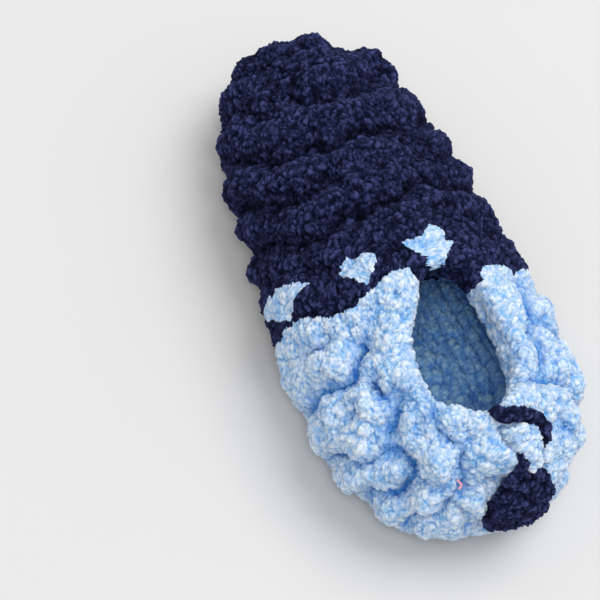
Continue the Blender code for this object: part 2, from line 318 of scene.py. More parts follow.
def knit(along, level):
    """A point on the outside of the upper, as the CAD part makes it."""
    side = np.where(np.asarray(along) < 0, -1.0, 1.0)
    s, t = np.broadcast_arrays(np.abs(np.asarray(along, float)), level)
    plan_x = np.interp(s, ALONG, PLAN_X)
    plan_y = np.interp(s, ALONG, PLAN_Y)
    edge_x, edge_y, edge_z = (
        through(EDGE_ROWS[:, 0], EDGE_ROWS[:, k], s) for k in (1, 2, 3)
    )
    most = COLLAR_LEAN + (VAMP_LEAN - COLLAR_LEAN) * ease((s - 0.38) / 0.14)
    lean = np.clip(t, 0, 1) * most
    across = (1 - np.cos(lean) ** 0.9) / (1 - np.cos(most) ** 0.9)
    rise = np.sin(lean) ** 0.92 / np.sin(most) ** 0.92
    upper = [
        plan_x + (edge_x - plan_x) * across,
        plan_y + (edge_y - plan_y) * across,
        WIDEST + (edge_z - WIDEST) * rise,
    ]
    below = np.clip(-t, 0, 1)
    turned = np.clip(below / 0.55, 0, 1) * math.pi / 2
    middle_y = 0.80 * LENGTH / 2 * (2 * s - 1)
    to_x, to_y = -plan_x, middle_y - plan_y
    reach = np.maximum(np.hypot(to_x, to_y), 1e-9)
    run = TUCK * (1 - np.cos(turned)) + (reach - TUCK) * np.clip(
        (below - 0.55) / 0.45, 0, 1
    )
    upper[2] = WIDEST + (upper[2] - WIDEST) * through(
        SHARE_ROWS[:, 0], SHARE_ROWS[:, 1], upper[1]
    )
    lower = (
        plan_x + to_x / reach * run,
        plan_y + to_y / reach * run,
        UNDERSIDE + (WIDEST - UNDERSIDE) * (1 - np.sin(turned)),
    )
    x, y, z = (np.where(t >= 0, a, b) for a, b in zip(upper, lower))
    x = np.where((t >= 1) & (s >= THROAT), 0.0, x)
    z = z + spring(y) * np.clip(1 - (z - UNDERSIDE) / 0.060, 0, 1)
    return np.stack([x * side, y + SHIFT, z], -1)


def knit_normal(along, level, reach=1e-3):
    along, level = np.asarray(along, float), np.minimum(level, 1 - reach)
    side = np.where(along < 0, -1.0, 1.0)
    s = np.clip(np.abs(along), reach, 1 - reach)
    d_along = knit(side * (s + reach), level) - knit(side * (s - reach), level)
    d_level = knit(side * s, level + reach) - knit(side * s, level - reach)
    out = np.cross(d_along, d_level) * np.asarray(side)[..., None]
    return out / np.maximum(np.linalg.norm(out, axis=-1, keepdims=True), 1e-12)


# -------------------------------------------------------------------- noises
def scramble(ix, iy, iz, seed):
    h = (
        ix.astype(np.uint32) * np.uint32(374761393)
        + iy.astype(np.uint32) * np.uint32(668265263)
        + iz.astype(np.uint32) * np.uint32(2246822519)
        + np.uint32(seed * 3266489917 % 4294967296)
    )
    h = (h ^ (h >> np.uint32(13))) * np.uint32(1274126177)
    h = (h ^ (h >> np.uint32(16))) * np.uint32(2654435769)
    return h ^ (h >> np.uint32(15))


def smooth_noise(p, size, seed):
    """Noise from -1 to 1 that changes over about size mm."""
    q = (p / size).astype(np.float32)
    base = np.floor(q).astype(np.int32)
    f = q - base
    f = f * f * (3 - 2 * f)
    total = np.zeros(len(p), np.float32)
    for corner in range(8):
        off = [(corner >> k) & 1 for k in range(3)]
        h = scramble(base[:, 0] + off[0], base[:, 1] + off[1], base[:, 2] + off[2], seed)
        weight = np.ones(len(p), np.float32)
        for k in range(3):
            weight *= f[:, k] if off[k] else 1 - f[:, k]
        total += weight * (h & np.uint32(0xFFFF)).astype(np.float32)
    return total / 32767.5 - 1


def ranked(values):
    """The values as their share of the way from the lowest to the highest."""
    steps = np.linspace(0, 1, 65)
    marks = np.quantile(values[:: max(1, len(values) // 60000)], steps)
    return np.interp(values, marks, steps)


def warp(p, size, reach, seed):
    return p + reach * np.stack([smooth_noise(p, size, seed + k) for k in range(3)], 1)


def nubs(p, cell, seed, spread=1.0):
    """Nearest and second nearest nub of a random packing, in cells, and a
    number from 0 to 1 that belongs to the nearest one."""
    q = (p / cell).astype(np.float32)
    base = np.floor(q).astype(np.int32)
    f = q - base
    first = np.full(len(p), 9.0, np.float32)
    second = np.full(len(p), 9.0, np.float32)
    own = np.zeros(len(p), np.float32)
    for dx in (-1, 0, 1):
        for dy in (-1, 0, 1):
            for dz in (-1, 0, 1):
                h = scramble(base[:, 0] + dx, base[:, 1] + dy, base[:, 2] + dz, seed)
                ax = dx + 0.5 + spread * ((h & np.uint32(1023)).astype(np.float32) / 1023 - 0.5) - f[:, 0]
                ay = dy + 0.5 + spread * (((h >> np.uint32(10)) & np.uint32(1023)).astype(np.float32) / 1023 - 0.5) - f[:, 1]
                az = dz + 0.5 + spread * (((h >> np.uint32(20)) & np.uint32(1023)).astype(np.float32) / 1023 - 0.5) - f[:, 2]
                d = ax * ax + ay * ay + az * az
                near = d < first
                second = np.where(near, first, np.minimum(second, d))
                own = np.where(near, (h % np.uint32(997)).astype(np.float32) / 997, own)
                first = np.where(near, d, first)
    return np.sqrt(first), np.sqrt(second), own


def tufts(p, medium_cell, small_cell, seed, medium_height=1.7, small_height=2.0, comb_by=0.40, bump_gap=0.12, tuft_gap=0.28):
    """Height in mm of the yarn's pile, its rank from 0 in the gaps to 1 on the
    tips, a number from 0 to 1 for each tuft, and 0 right between two tufts.
    Each bump of the yarn has its tufts combed in its own direction."""
    warped = warp(p, 5.0, 1.0, seed)
    f1, f2, lump = nubs(warped, medium_cell, seed + 3)
    turn = lump * 97.0
    up = np.sin(lump * 41.0) * 0.8
    flat = np.sqrt(1 - up * up)
    comb = np.stack([np.cos(turn) * flat, np.sin(turn) * flat, up], 1)
    q = warped - comb_by * (warped * comb).sum(1)[:, None] * comb + (lump * 31.0)[:, None]
    q = warp(q, 1.4, 0.78, seed + 6)
    g1, g2, own = nubs(q, small_cell, seed + 9)
    medium = np.sqrt(np.clip(1 - (f1 / 0.95) ** 2, 0, 1))
    small = np.sqrt(np.clip(1 - (g1 / 0.95) ** 2, 0, 1)) * (0.72 + 0.56 * own)
    crumb = 1 - np.abs(smooth_noise(p, 1.15, seed + 12))
    tall = medium_height * (medium - 0.66) + small_height * (small - 0.62) + 1.10 * (crumb - 0.7)
    gap = np.clip((g2 - g1) / tuft_gap, 0, 1) * np.clip((f2 - f1) / bump_gap, 0, 1)
    return tall, ranked(0.34 * medium + 0.62 * small + 0.16 * crumb), own, gap


# --------------------------------------------------------------------- meshes
def read_mesh(obj):
    """Vertices (mm) and quads of the object with its modifiers."""
    graph = bpy.context.evaluated_depsgraph_get()
    done = obj.evaluated_get(graph)
    mesh = done.to_mesh()
    points = np.empty(len(mesh.vertices) * 3, np.float32)
    mesh.vertices.foreach_get("co", points)
    faces = np.empty(len(mesh.loops), np.int32)
    mesh.loops.foreach_get("vertex_index", faces)
    if len(mesh.loops) != 4 * len(mesh.polygons):
        raise ValueError(obj.name + " isn't all quads")
    done.to_mesh_clear()
    return points.reshape(-1, 3).astype(np.float64) / MM, faces.reshape(-1, 4)


def normals_of(points, quads):
    a, b = points[quads[:, 2]] - points[quads[:, 0]], points[quads[:, 3]] - points[quads[:, 1]]
    face = np.cross(a, b)
    total = np.stack(
        [
            sum(
                np.bincount(quads[:, c], face[:, k], len(points)) for c in range(4)
            )
            for k in range(3)
        ],
        1,
    )
    return total / np.maximum(np.linalg.norm(total, axis=1, keepdims=True), 1e-12)


def relax(values, quads, times):
    """Averages a field over the mesh's neighbours."""
    count = sum(np.bincount(quads[:, c], minlength=len(values)) for c in range(4)).astype(float)
    for _ in range(times):
        mean = values[quads].mean(1)
        values = sum(np.bincount(quads[:, c], mean, len(values)) for c in range(4)) / np.maximum(count, 1)
    return values


def relax_rows(rows, quads, times):
    return np.stack([relax(rows[:, k], quads, times) for k in range(rows.shape[1])], 1)


def revoxel(obj, voxel, evens):
    mod = obj.modifiers.new("even_mesh", "REMESH")
    mod.mode = "VOXEL"
    mod.voxel_size = voxel
    mod.adaptivity = 0
    mod = obj.modifiers.new("evened", "SMOOTH")
    mod.factor = 0.5
    mod.iterations = evens


def make_piece(name, points, quads, fields=None, uv=None):
    """A shown piece from points in mm and quads, unused points left out."""
    used = np.unique(quads)
    place = np.full(len(points), -1, np.int64)
    place[used] = np.arange(len(used))
    mesh = bpy.data.meshes.new(name)
    mesh.vertices.add(len(used))
    mesh.vertices.foreach_set("co", (points[used] * MM).astype(np.float32).ravel())
    mesh.loops.add(quads.size)
    mesh.loops.foreach_set("vertex_index", place[quads].astype(np.int32).ravel())
    mesh.polygons.add(len(quads))
    mesh.polygons.foreach_set("loop_start", np.arange(0, quads.size, 4, dtype=np.int32))
    mesh.update(calc_edges=True)
    mesh.validate()
    for key, values in (fields or {}).items():
        layer = mesh.attributes.new(key, "FLOAT", "POINT")
        layer.data.foreach_set("value", values[used].astype(np.float32))
    if uv is not None:
        layer = mesh.uv_layers.new(name="OFBake")
        layer.uv.foreach_set("vector", uv.astype(np.float32).ravel())
    mesh.shade_smooth()
    obj = bpy.data.objects.new(name, mesh)
    bpy.context.scene.collection.objects.link(obj)
    return obj


# ------------------------------------------------------------------ materials
class Nodes:
    """Short calls for a material's node tree."""

    def __init__(self, name):
        self.made = bpy.data.materials.new(name)
        self.made.use_nodes = True
        self.tree = self.made.node_tree
        self.tree.nodes.clear()
        self.shader = self.add("ShaderNodeBsdfPrincipled")
        out = self.add("ShaderNodeOutputMaterial")
        self.link(self.shader.outputs["BSDF"], out.inputs["Surface"])
        self.where = self.add("ShaderNodeTexCoord").outputs["Object"]

    def add(self, kind, **settings):
        node = self.tree.nodes.new(kind)
        for key, value in settings.items():
            setattr(node, key, value)
        return node

    def link(self, a, b):
        self.tree.links.new(a, b)

    def field(self, name):
        node = self.add("ShaderNodeAttribute", attribute_name=name)
        return node.outputs["Fac"]

    def noise(self, scale, detail=2.0, rough=0.5):
        node = self.add("ShaderNodeTexNoise")
        node.inputs["Scale"].default_value = scale
        node.inputs["Detail"].default_value = detail
        node.inputs["Roughness"].default_value = rough
        self.link(self.where, node.inputs["Vector"])
        return node.outputs["Fac"]

    def ramp(self, value, stops):
        node = self.add("ShaderNodeValToRGB")
        ramp = node.color_ramp
        while len(ramp.elements) < len(stops):
            ramp.elements.new(0.5)
        for element, (at, colour) in zip(ramp.elements, stops):
            element.position = at
            element.color = (*colour, 1.0)
        self.link(value, node.inputs["Fac"])
        return node.outputs["Color"]

    def math(self, kind, a, b=None, c=None, clamp=False):
        node = self.add("ShaderNodeMath", operation=kind, use_clamp=clamp)
        for k, value in enumerate((a, b, c)):
            if value is None:
                continue
            if isinstance(value, (int, float)):
                node.inputs[k].default_value = value
            else:
                self.link(value, node.inputs[k])
        return node.outputs[0]

    def mix(self, kind, fac, a, b):
        node = self.add("ShaderNodeMix", data_type="RGBA", blend_type=kind)
        for socket, value in ((node.inputs[0], fac), (node.inputs[6], a), (node.inputs[7], b)):
            if isinstance(value, (int, float)):
                socket.default_value = value
            elif isinstance(value, tuple):
                socket.default_value = (*value, 1.0)
            else:
                self.link(value, socket)
        return node.outputs[2]

    def bump(self, height, distance, strength, normal=None):
        node = self.add("ShaderNodeBump")
        node.inputs["Distance"].default_value = distance
        node.inputs["Strength"].default_value = strength
        self.link(height, node.inputs["Height"])
        if normal is not None:
            self.link(normal, node.inputs["Normal"])
        return node.outputs["Normal"]


def chenille(name, stops, tips, rough, sheen, sheen_tint, shade, crease_shade, gap_shade, gap_shade_colour, mottle=0.60):
    """Fluffy yarn: colour by how far down between the nubs a place lies, darker and bluer in the hollows as painted
    shade and lighter on the tips as painted light, with painted shade also in the gaps between tufts and along the
    creases.
    """
    n = Nodes(name)
    nub, fold, tint = n.field("nub"), n.field("fold"), n.field("tint")
    fibre = n.noise(1150.0, 4.0, 0.70)
    cloud = n.noise(260.0, 2.0, 0.5)
    height = n.math("ADD", nub, n.math("MULTIPLY_ADD", fibre, mottle, -0.5 * mottle))
    height = n.math("ADD", height, n.math("MULTIPLY_ADD", cloud, 0.14, -0.07))
    height = n.math("ADD", height, n.math("MULTIPLY_ADD", tint, 0.12, -0.06), clamp=True)
    # Painted shade and light: the ramp runs from a dark saturated blue in the hollows between nubs to near white on the
    # tips.
    colour = n.ramp(height, stops)
    # White fibre flecks, whiter toward the tips: partly the fibres' own tone, partly painted highlight.
    white = n.math("MULTIPLY", n.math("SUBTRACT", fibre, 0.56, clamp=True), 2.4, clamp=True)
    colour = n.mix("MIX", n.math("MULTIPLY", white, n.math("MULTIPLY", height, 1.0)), colour, tips)
    # Painted shade: a darker blue along the thin gaps between tufts.
    between = n.math("SUBTRACT", 1.0, n.field("gap"), clamp=True)
    colour = n.mix("MIX", n.math("MULTIPLY", between, gap_shade), colour, gap_shade_colour)
    # Painted shade: creases and pushed-in hollows are multiplied toward a darker colour.
    colour = n.mix("MULTIPLY", n.math("MULTIPLY", fold, shade), colour, crease_shade)
    n.link(colour, n.shader.inputs["Base Color"])
    n.shader.inputs["Roughness"].default_value = rough
    n.shader.inputs["Specular IOR Level"].default_value = 0.08
    n.shader.inputs["Sheen Weight"].default_value = sheen
    n.shader.inputs["Sheen Roughness"].default_value = 0.45
    n.shader.inputs["Sheen Tint"].default_value = (*sheen_tint, 1.0)
    normal = n.bump(n.noise(900.0, 2.0, 0.6), 0.0008, 0.65)
    normal = n.bump(fibre, 0.0007, 0.9, normal)
    n.link(normal, n.shader.inputs["Normal"])
    return n.made


# In each yarn below, the low ramp stops, the crease colour and the gap colour are painted shade, and the tip colour is
# partly painted highlight.
PALE = chenille(
    "pale_blue_chenille",
    (
        (0.00, (0.215, 0.475, 0.850)),
        (0.14, (0.400, 0.635, 0.900)),
        (0.34, (0.590, 0.752, 0.925)),
        (0.60, (0.700, 0.818, 0.938)),
        (0.93, (0.785, 0.868, 0.948)),
    ),
    (0.86, 0.91, 0.96), 0.95, 0.12, (0.85, 0.92, 1.0),
    0.98, (0.140, 0.420, 0.770), 0.54, (0.110, 0.370, 0.815), 0.95,
)
# The same pale yarn for the inside of the slipper, in darker and more saturated blues: painted shade and painted blue
# light bounced around inside.
PALE_IN_SHADE = chenille(
    "pale_blue_in_shade",
    (
        (0.00, (0.140, 0.380, 0.870)),
        (0.30, (0.245, 0.545, 0.980)),
        (0.60, (0.345, 0.665, 0.990)),
        (0.95, (0.460, 0.765, 0.995)),
    ),
    (0.54, 0.79, 0.995), 0.95, 0.03, (0.60, 0.80, 1.0),
    0.50, (0.280, 0.480, 0.850), 0.50, (0.090, 0.270, 0.700),
)
NAVY = chenille(
    "navy_chenille",
    (
        (0.03, (0.0020, 0.0031, 0.0135)),
        (0.25, (0.0080, 0.0114, 0.0430)),
        (0.50, (0.0160, 0.0214, 0.0750)),
        (0.75, (0.0300, 0.0380, 0.1230)),
        (0.97, (0.0510, 0.0620, 0.1880)),
    ),
    (0.064, 0.077, 0.205), 0.95, 0.03, (0.35, 0.42, 0.85),
    0.90, (0.180, 0.200, 0.270), 0.60, (0.0016, 0.0026, 0.0120),
)


def grip_material():
    n = Nodes("grey_grip_rubber")
    colour = n.ramp(n.noise(700.0, 3.0, 0.6), ((0.3, (0.035, 0.035, 0.040)), (0.7, (0.085, 0.085, 0.092))))
    n.link(colour, n.shader.inputs["Base Color"])
    n.link(n.math("MULTIPLY_ADD", n.noise(1200.0), 0.2, 0.72), n.shader.inputs["Roughness"])
    dots = n.add("ShaderNodeTexVoronoi")
    dots.inputs["Scale"].default_value = 420.0
    n.link(n.where, dots.inputs["Vector"])
    normal = n.bump(dots.outputs["Distance"], 0.0007, 0.6)
    normal = n.bump(n.noise(2200.0, 2.0), 0.0002, 0.5, normal)
    n.link(normal, n.shader.inputs["Normal"])
    return n.made


def pink_material():
    n = Nodes("pink_fibre")
    colour = n.ramp(n.noise(3000.0), ((0.2, (0.80, 0.22, 0.30)), (0.8, (0.95, 0.50, 0.55))))
    n.link(colour, n.shader.inputs["Base Color"])
    n.shader.inputs["Roughness"].default_value = 0.8
    return n.made


# ------------------------------------------------------------ the knitted body
def base_upper(voxel, evens):
    """The hollow upper as a closed mesh of even quads, in mm."""
    levels = np.array(LEVELS)
    bm = bmesh.new()
    bmesh.ops.create_grid(bm, x_segments=AROUND, y_segments=len(levels) - 1, size=0.5)
    for vert in bm.verts:
        s = round((vert.co.x + 0.5) * AROUND) / AROUND
        t = levels[int(round((vert.co.y + 0.5) * (len(levels) - 1)))]
        vert.co = Vector(knit(s, t))
    bm.normal_update()
    middle = Vector((0.0, 0.0, 0.035))
    if sum((f.calc_center_median() - middle).dot(f.normal) for f in bm.faces) < 0:
        bmesh.ops.reverse_faces(bm, faces=bm.faces)
    mesh = bpy.data.meshes.new("knit_base")
    bm.to_mesh(mesh)
    bm.free()
    obj = bpy.data.objects.new("knit_base", mesh)
    bpy.context.scene.collection.objects.link(obj)
    lip = obj.vertex_groups.new(name="lip")
    collar = np.array([[x, y + SHIFT, z] for a, x, y, z in EDGE if a <= THROAT])
    for vert in mesh.vertices:
        near = float(np.linalg.norm(collar - np.array(vert.co), axis=1).min())
        lip.add([vert.index], float(ease(1 - near / 0.030)), "REPLACE")
    mod = obj.modifiers.new("both_sides", "MIRROR")
    mod.use_mirror_merge = True
    mod.merge_threshold = 0.0001
    mod = obj.modifiers.new("thickness", "SOLIDIFY")
    mod.thickness, mod.offset, mod.use_even_offset = LIP, -1.0, True
    mod.vertex_group, mod.thickness_vertex_group = "lip", WALL / LIP
    mod = obj.modifiers.new("rounding", "BEVEL")
    mod.width, mod.segments = LIP_ROUND, 4
    mod.limit_method, mod.angle_limit = "ANGLE", math.radians(62)
    mod = obj.modifiers.new("smoother", "SUBSURF")
    mod.levels = mod.render_levels = 1
    revoxel(obj, voxel, evens)
    points, quads = read_mesh(obj)
    bpy.data.objects.remove(obj)
    return points, quads


class Places:
    """Finds the knit's own place (along, level) of points in space."""

    def __init__(self):
        s = np.concatenate([-np.linspace(1, 0.0005, 420), np.linspace(0.0005, 1, 420)])
        t = np.concatenate([np.linspace(-1, -0.5, 60), np.linspace(-0.49, 1, 170)])
        self.s, self.t = (a.ravel() for a in np.meshgrid(s, t, indexing="ij"))
        self.at = knit(self.s, self.t) / MM
        self.out = knit_normal(self.s, self.t)
        e = 1e-3
        side = np.where(self.s < 0, -1.0, 1.0)
        a = np.clip(np.abs(self.s), e, 1 - e)
        self.d_s = (knit(side * (a + e), self.t) - knit(side * (a - e), self.t)) / (2 * e) / MM * side[:, None]
        low, high = np.clip(self.t - e, -1, 1), np.clip(self.t + e, -1, 1)
        self.d_t = (knit(self.s, high) - knit(self.s, low)) / (high - low)[:, None] / MM
        self.tree = KDTree(len(self.s))
        for k, co in enumerate(self.at.tolist()):
            self.tree.insert(co, k)
        self.tree.balance()

    def find(self, points):
        find = self.tree.find
        near = np.fromiter((find(co)[1] for co in points.tolist()), np.int64, len(points))
        gap = points - self.at[near]
        ds, dt = self.d_s[near], self.d_t[near]
        ss, st, tt = (ds * ds).sum(1), (ds * dt).sum(1), (dt * dt).sum(1)
        gs, gt = (gap * ds).sum(1), (gap * dt).sum(1)
        det = np.maximum(ss * tt - st * st, 1e-9)
        step_s = np.clip((gs * tt - gt * st) / det, -0.003, 0.003)
        step_t = np.clip((gt * ss - gs * st) / det, -0.012, 0.012)
        side = np.where(self.s[near] < 0, -1.0, 1.0)
        s = side * np.clip(np.abs(self.s[near]) + side * step_s * side, 0.0, 1.0)
        t = np.clip(self.t[near] + step_t, -1.0, 1.0)
        depth = -(gap * self.out[near]).sum(1)
        away = np.linalg.norm(gap, axis=1)
        return s, t, depth, away


def route_of(places, step=1.5):
    """A smooth curve through places of the knit, in mm."""
    rows = np.array(places, float)
    corner = knit(rows[:, 0], rows[:, 1]) / MM
    length = np.concatenate([[0], np.cumsum(np.linalg.norm(np.diff(corner, axis=0), axis=1))])
    at = np.arange(0, length[-1] + step, step).clip(0, length[-1])
    return np.stack([through(length, corner[:, k], at) for k in range(3)], 1)


def crease_field(points, reach_noise):
    """Height of the rolled folds: 0 on a roll, minus in the creases, and how
    much painted shade lies along each crease."""
    height = np.zeros(len(points))
    dark = np.zeros(len(points))
    for name, depth, radius, places in CREASES:
        route = route_of(places)
        low, high = route.min(0) - radius - 3, route.max(0) + radius + 3
        near = np.nonzero(((points > low) & (points < high)).all(1))[0]
        if not len(near):
            continue
        p = points[near] + reach_noise[near]
        best = np.full(len(near), 1e9)
        for a, b in zip(route[:-1], route[1:]):
            ab = b - a
            if not ab.any():
                continue
            u = np.clip((p - a) @ ab / (ab @ ab), 0, 1)
            gap = p - a - u[:, None] * ab
            best = np.minimum(best, (gap * gap).sum(1))
        # A crease fades out towards its ends.
        ends = np.minimum(
            np.linalg.norm(p - route[0], axis=1), np.linalg.norm(p - route[-1], axis=1)
        )
        fade = 0.35 + 0.65 * ease(ends / 9)
        gap = np.sqrt(best)
        wide = radius * (1.30 if name[0] == "t" else 1.25)
        u = np.clip(gap / wide, 0, 1) ** 0.95
        more = 1.50 if name[0] == "t" else 1.75
        dip = more * depth * fade * (1 - u) ** 2
        # Where two creases meet the dips add up softly.
        height[near] = -np.cbrt(np.abs(height[near]) ** 3 + dip**3)
        # Painted shade along the crease line, in a wider band on the right wall's creases.
        band = radius * (0.34 if name[0] == "r" else 0.26)
        dark[near] = np.maximum(dark[near], fade * np.exp(-((gap / band) ** 2)) * min(depth / 4.2, 1.15))
    return np.maximum(height, -8.0), dark


def ridge_field(points):
    height = np.zeros(len(points))
    for _, rise, radius, places in RIDGES:
        route = route_of(places)
        low, high = route.min(0) - 2 * radius, route.max(0) + 2 * radius
        near = np.nonzero(((points > low) & (points < high)).all(1))[0]
        best = np.full(len(near), 1e9)
        for at in route:
            best = np.minimum(best, ((points[near] - at) ** 2).sum(1))
        height[near] += rise * np.exp(-best / radius**2 * 1.3)
    return height


def inside_outline(s, t, outline):
    """Signed test of points against a closed outline: plus inside, mm-like."""
    inside = np.zeros(len(s), bool)
    best = np.full(len(s), 1e9)
    count = len(outline)
    for k in range(count):
        (s0, t0), (s1, t1) = outline[k], outline[(k + 1) % count]
        cross = (t0 > t) != (t1 > t)
        at = (s1 - s0) * (t - t0) / (t1 - t0 if t1 != t0 else 1e-9) + s0
        inside ^= cross & (s < at)
        ds, dt = s1 - s0, t1 - t0
        u = np.clip(((s - s0) * ds + (t - t0) * dt) / max(ds * ds + dt * dt, 1e-12), 0, 1)
        best = np.minimum(best, np.hypot(s - s0 - u * ds, t - t0 - u * dt))
    return np.where(inside, best, -best)


# Lengths that stand for one unit of along and of level, mm.
PER_ALONG, PER_LEVEL = 315.0, 78.0


def outline_mm(s, t, outline):
    scaled = [(a * PER_ALONG, b * PER_LEVEL) for a, b in outline]
    return inside_outline(s * PER_ALONG, t * PER_LEVEL, scaled)


def vamp_outline():
    """The vamp's pale stitch in x, y mm, because it lies over the middle."""
    rows = np.array(FLECK_VAMP)
    at = knit(rows[:, 0], rows[:, 1]) / MM
    middle = at.mean(0)
    return [(x, y) for x, y, _ in (middle + 1.05 * (at - middle)).tolist()]


def shape_knit(points, quads, places, voxel):
    """Rolls, lumps and nubs of the whole knit. Returns the new points and the
    fields that the materials and the cut into pieces read."""
    normal = normals_of(points, quads)
    s, t, depth, away = places.find(points)
    outer = 1 - ease((depth - 2.0) / 5.0)
    edge, edge_away = [], []
    for side in (-1.0, 1.0):
        line = knit(side * np.linspace(0.0005, THROAT, 90), 1.0) / MM
        run = np.gradient(line, axis=0)[:, :2]
        out = np.stack([run[:, 1], -run[:, 0], 0 * run[:, 0]], 1) * -side
        edge.append(line)
        edge_away.append(out / np.linalg.norm(out, axis=1, keepdims=True))
    edge, edge_away = np.concatenate(edge), np.concatenate(edge_away)
    facing = ((edge - (0.0, -68.0, 0.0)) * edge_away).sum(1)
    edge_away *= np.sign(np.median(facing))
    rim = KDTree(len(edge))
    for k, co in enumerate(edge.tolist()):
        rim.insert(co, k)
    rim.balance()
    near_collar = np.nonzero((points[:, 1] < 24) & (points[:, 2] > 40))[0]
    to_rim = np.full(len(points), 99.0)
    found = [rim.find(co)[1:] for co in points[near_collar].tolist()]
    to_rim[near_collar] = [gap for _, gap in found]
    slide = np.zeros_like(points)
    slide[near_collar] = edge_away[[k for k, _ in found]]
    row = np.linspace(0.0005, THROAT, 90)
    row = np.interp(np.concatenate([-row, row]), *np.array(RIM_OUT).T)
    out = np.zeros(len(points))
    out[near_collar] = row[[k for k, _ in found]]
    reach = np.interp(out, (4.0, 8.0), (26, 46))
    slide *= (out * ease((reach - to_rim) / (reach - 4)))[:, None]

    # The rolled collar is rounder than its CAD solid.
    soft = quads[(to_rim[quads] < 22).all(1)]
    used = np.unique(soft)
    place = np.full(len(points), -1, np.int64)
    place[used] = np.arange(len(used))
    soft, share = place[soft], ease((20 - to_rim[used]) / 8)[:, None]
    rounded = points[used].copy()
    count = np.maximum(sum(np.bincount(soft[:, c], minlength=len(used)) for c in range(4)), 1)[:, None]
    for _ in range(int(50 * (0.6 / (voxel / MM)) ** 2) + 4):
        mean = rounded[soft].mean(1)
        total = np.stack([sum(np.bincount(soft[:, c], mean[:, k], len(used)) for c in range(4)) for k in range(3)], 1)
        rounded += share * (total / count - rounded)
    points = points.copy()
    points[used] = rounded
    normal = normals_of(points, quads)
    points += normal * (0.3 * ease((9 - to_rim) / 6))[:, None]

    # The knit's pile takes room, so the collar's middle line lies further out.
    centre = relax_rows(slide, quads, 12)
    points = points + centre
    normal = normals_of(points, quads)

    sway = warp(points * 1.0, 16.0, 1.0, 11) - points
    fold, dark = np.zeros(len(points)), np.zeros(len(points))
    part = np.nonzero(outer > 0.01)[0]
    fold[part], dark[part] = crease_field(points[part], sway[part] * 2.2)
    fold, dark = fold * outer, dark * outer
    flank = ease((points[:, 0] - 22) / 20) * ease((0.82 - np.abs(s)) / 0.05)
    fold *= 1 - 0.42 * flank
    keep = 0.55 + 0.45 * ease((to_rim - 4) / 12)
    big = fold * keep * (1 + 0.25 * smooth_noise(points, 14.0, 21))
    for a, b, height, radius in LUMPS:
        at = knit(a, b) / MM
        gap = np.linalg.norm(points - at, axis=1)
        big += np.maximum(outer, ease((12 - to_rim) / 5)) * 1.35 * height * np.exp(-((gap / radius) ** 2) * 1.2)
    toe = ease((np.abs(s) - 0.44) / 0.06)
    rounded = np.maximum(outer, ease((13 - to_rim) / 5))
    # Stitches stand out as lumps: finer in the pale heel, brick-like in the toe.
    first, second, _ = nubs(warp(points, 14.0, 3.2, 31), 12.5, 5)
    pale_lump = 1 - (first / 0.95) ** 1.6 - 0.45
    brick = warp(points, 18.0, 4.0, 35) * (0.72, 1.0, 0.85)
    first, second, _ = nubs(brick, 12.5, 9)
    navy_lump = 1 - (first / 0.95) ** 1.6 - 0.45
    lump = (1 - toe) * 4.8 * pale_lump + toe * 4.6 * navy_lump
    big += rounded * lump * (0.55 + 0.45 * ease((to_rim - 4) / 12))
    big += outer * ridge_field(points)
    # The pale flap beside the yarn end.
    flap = outline_mm(s, t, FLAP)
    flap = np.where((depth < 3) & (t > 0.3), flap, -9.0)
    big += 3.2 * ease((flap + 1.2) / 3.0) - 1.8 * np.exp(-(((flap + 2.4) / 1.6) ** 2))
    # Lengthwise stitch columns of the lining.
    inner = ease((depth - 6.0) / 3.0) * ease((to_rim - 8) / 6)
    w = np.interp(t, (-1.0, -0.55, 0.0, 1.0), (0.0, 41.0, 70.0, 140.0)) * np.sign(s)
    u = w / 9.5 + 0.18 * smooth_noise(points, 12.0, 41)
    leg = np.where((u % 1) < 0.5, 1.0, -1.0)
    v = points[:, 1] / 8.5 + leg * (u * 2 % 1 - 0.5) * 0.35 + np.floor(u) * 0.37
    across, down = (u * 2 % 1 - 0.5) * 2, (v % 1 - 0.5) * 2
    stitch = np.sqrt(np.clip(1 - 0.75 * across**2 - 0.55 * down**2, 0, 1))
    groove = np.exp(-(((u % 1 - 0.0 + 0.5) % 1 - 0.5) * 9.5 / 1.5) ** 2)
    big += inner * (2.0 * stitch - 1.3 - 1.6 * groove)
    big = big + 0.6 * outer * ease((to_rim - 3) / 12)
    # The knit lies a little lower under the heel patch.
    under = outline_mm(s, t, [(a, b) for a in PATCH_ALONG for b in PATCH_LEVELS[:: 1 if a < 0 else -1]])
    big -= 2.6 * outer * ease((under + 1.0) / 3.0)
    big = np.where(outer > 0.5, np.maximum(big, -7.0), big)

    moved = points + normal * big[:, None]
    moved += outer[:, None] * sway * 1.2
    normal = normals_of(moved, quads)

    # Colour change, with the ragged edge that the fluff gives it.
    wobble = (smooth_noise(points, 5.0, 101) * 1.1 + smooth_noise(points, 1.6, 111) * 0.9) / PER_ALONG
    left = np.interp(t, *np.array(CHANGE_LEFT).T)
    right = np.interp(t, *np.array(CHANGE_RIGHT).T)
    change = np.where(s < 0, left, right)
    blue = np.abs(s) + wobble > change
    ragged = (smooth_noise(points, 3.0, 121) * 0.9 + smooth_noise(points, 1.3, 131) * 0.7)
    fleck = np.maximum(outline_mm(s, t, FLECK_LEFT), outline_mm(s, t, FLECK_TOP))
    xy = inside_outline(points[:, 0], points[:, 1], vamp_outline())
    fleck = np.maximum(fleck, np.where(points[:, 2] > 55, xy, -9.0))
    fleck = np.where(depth < 4, fleck, -9.0)
    pale_stitch = fleck + ragged > 0
    navy = blue & ~pale_stitch
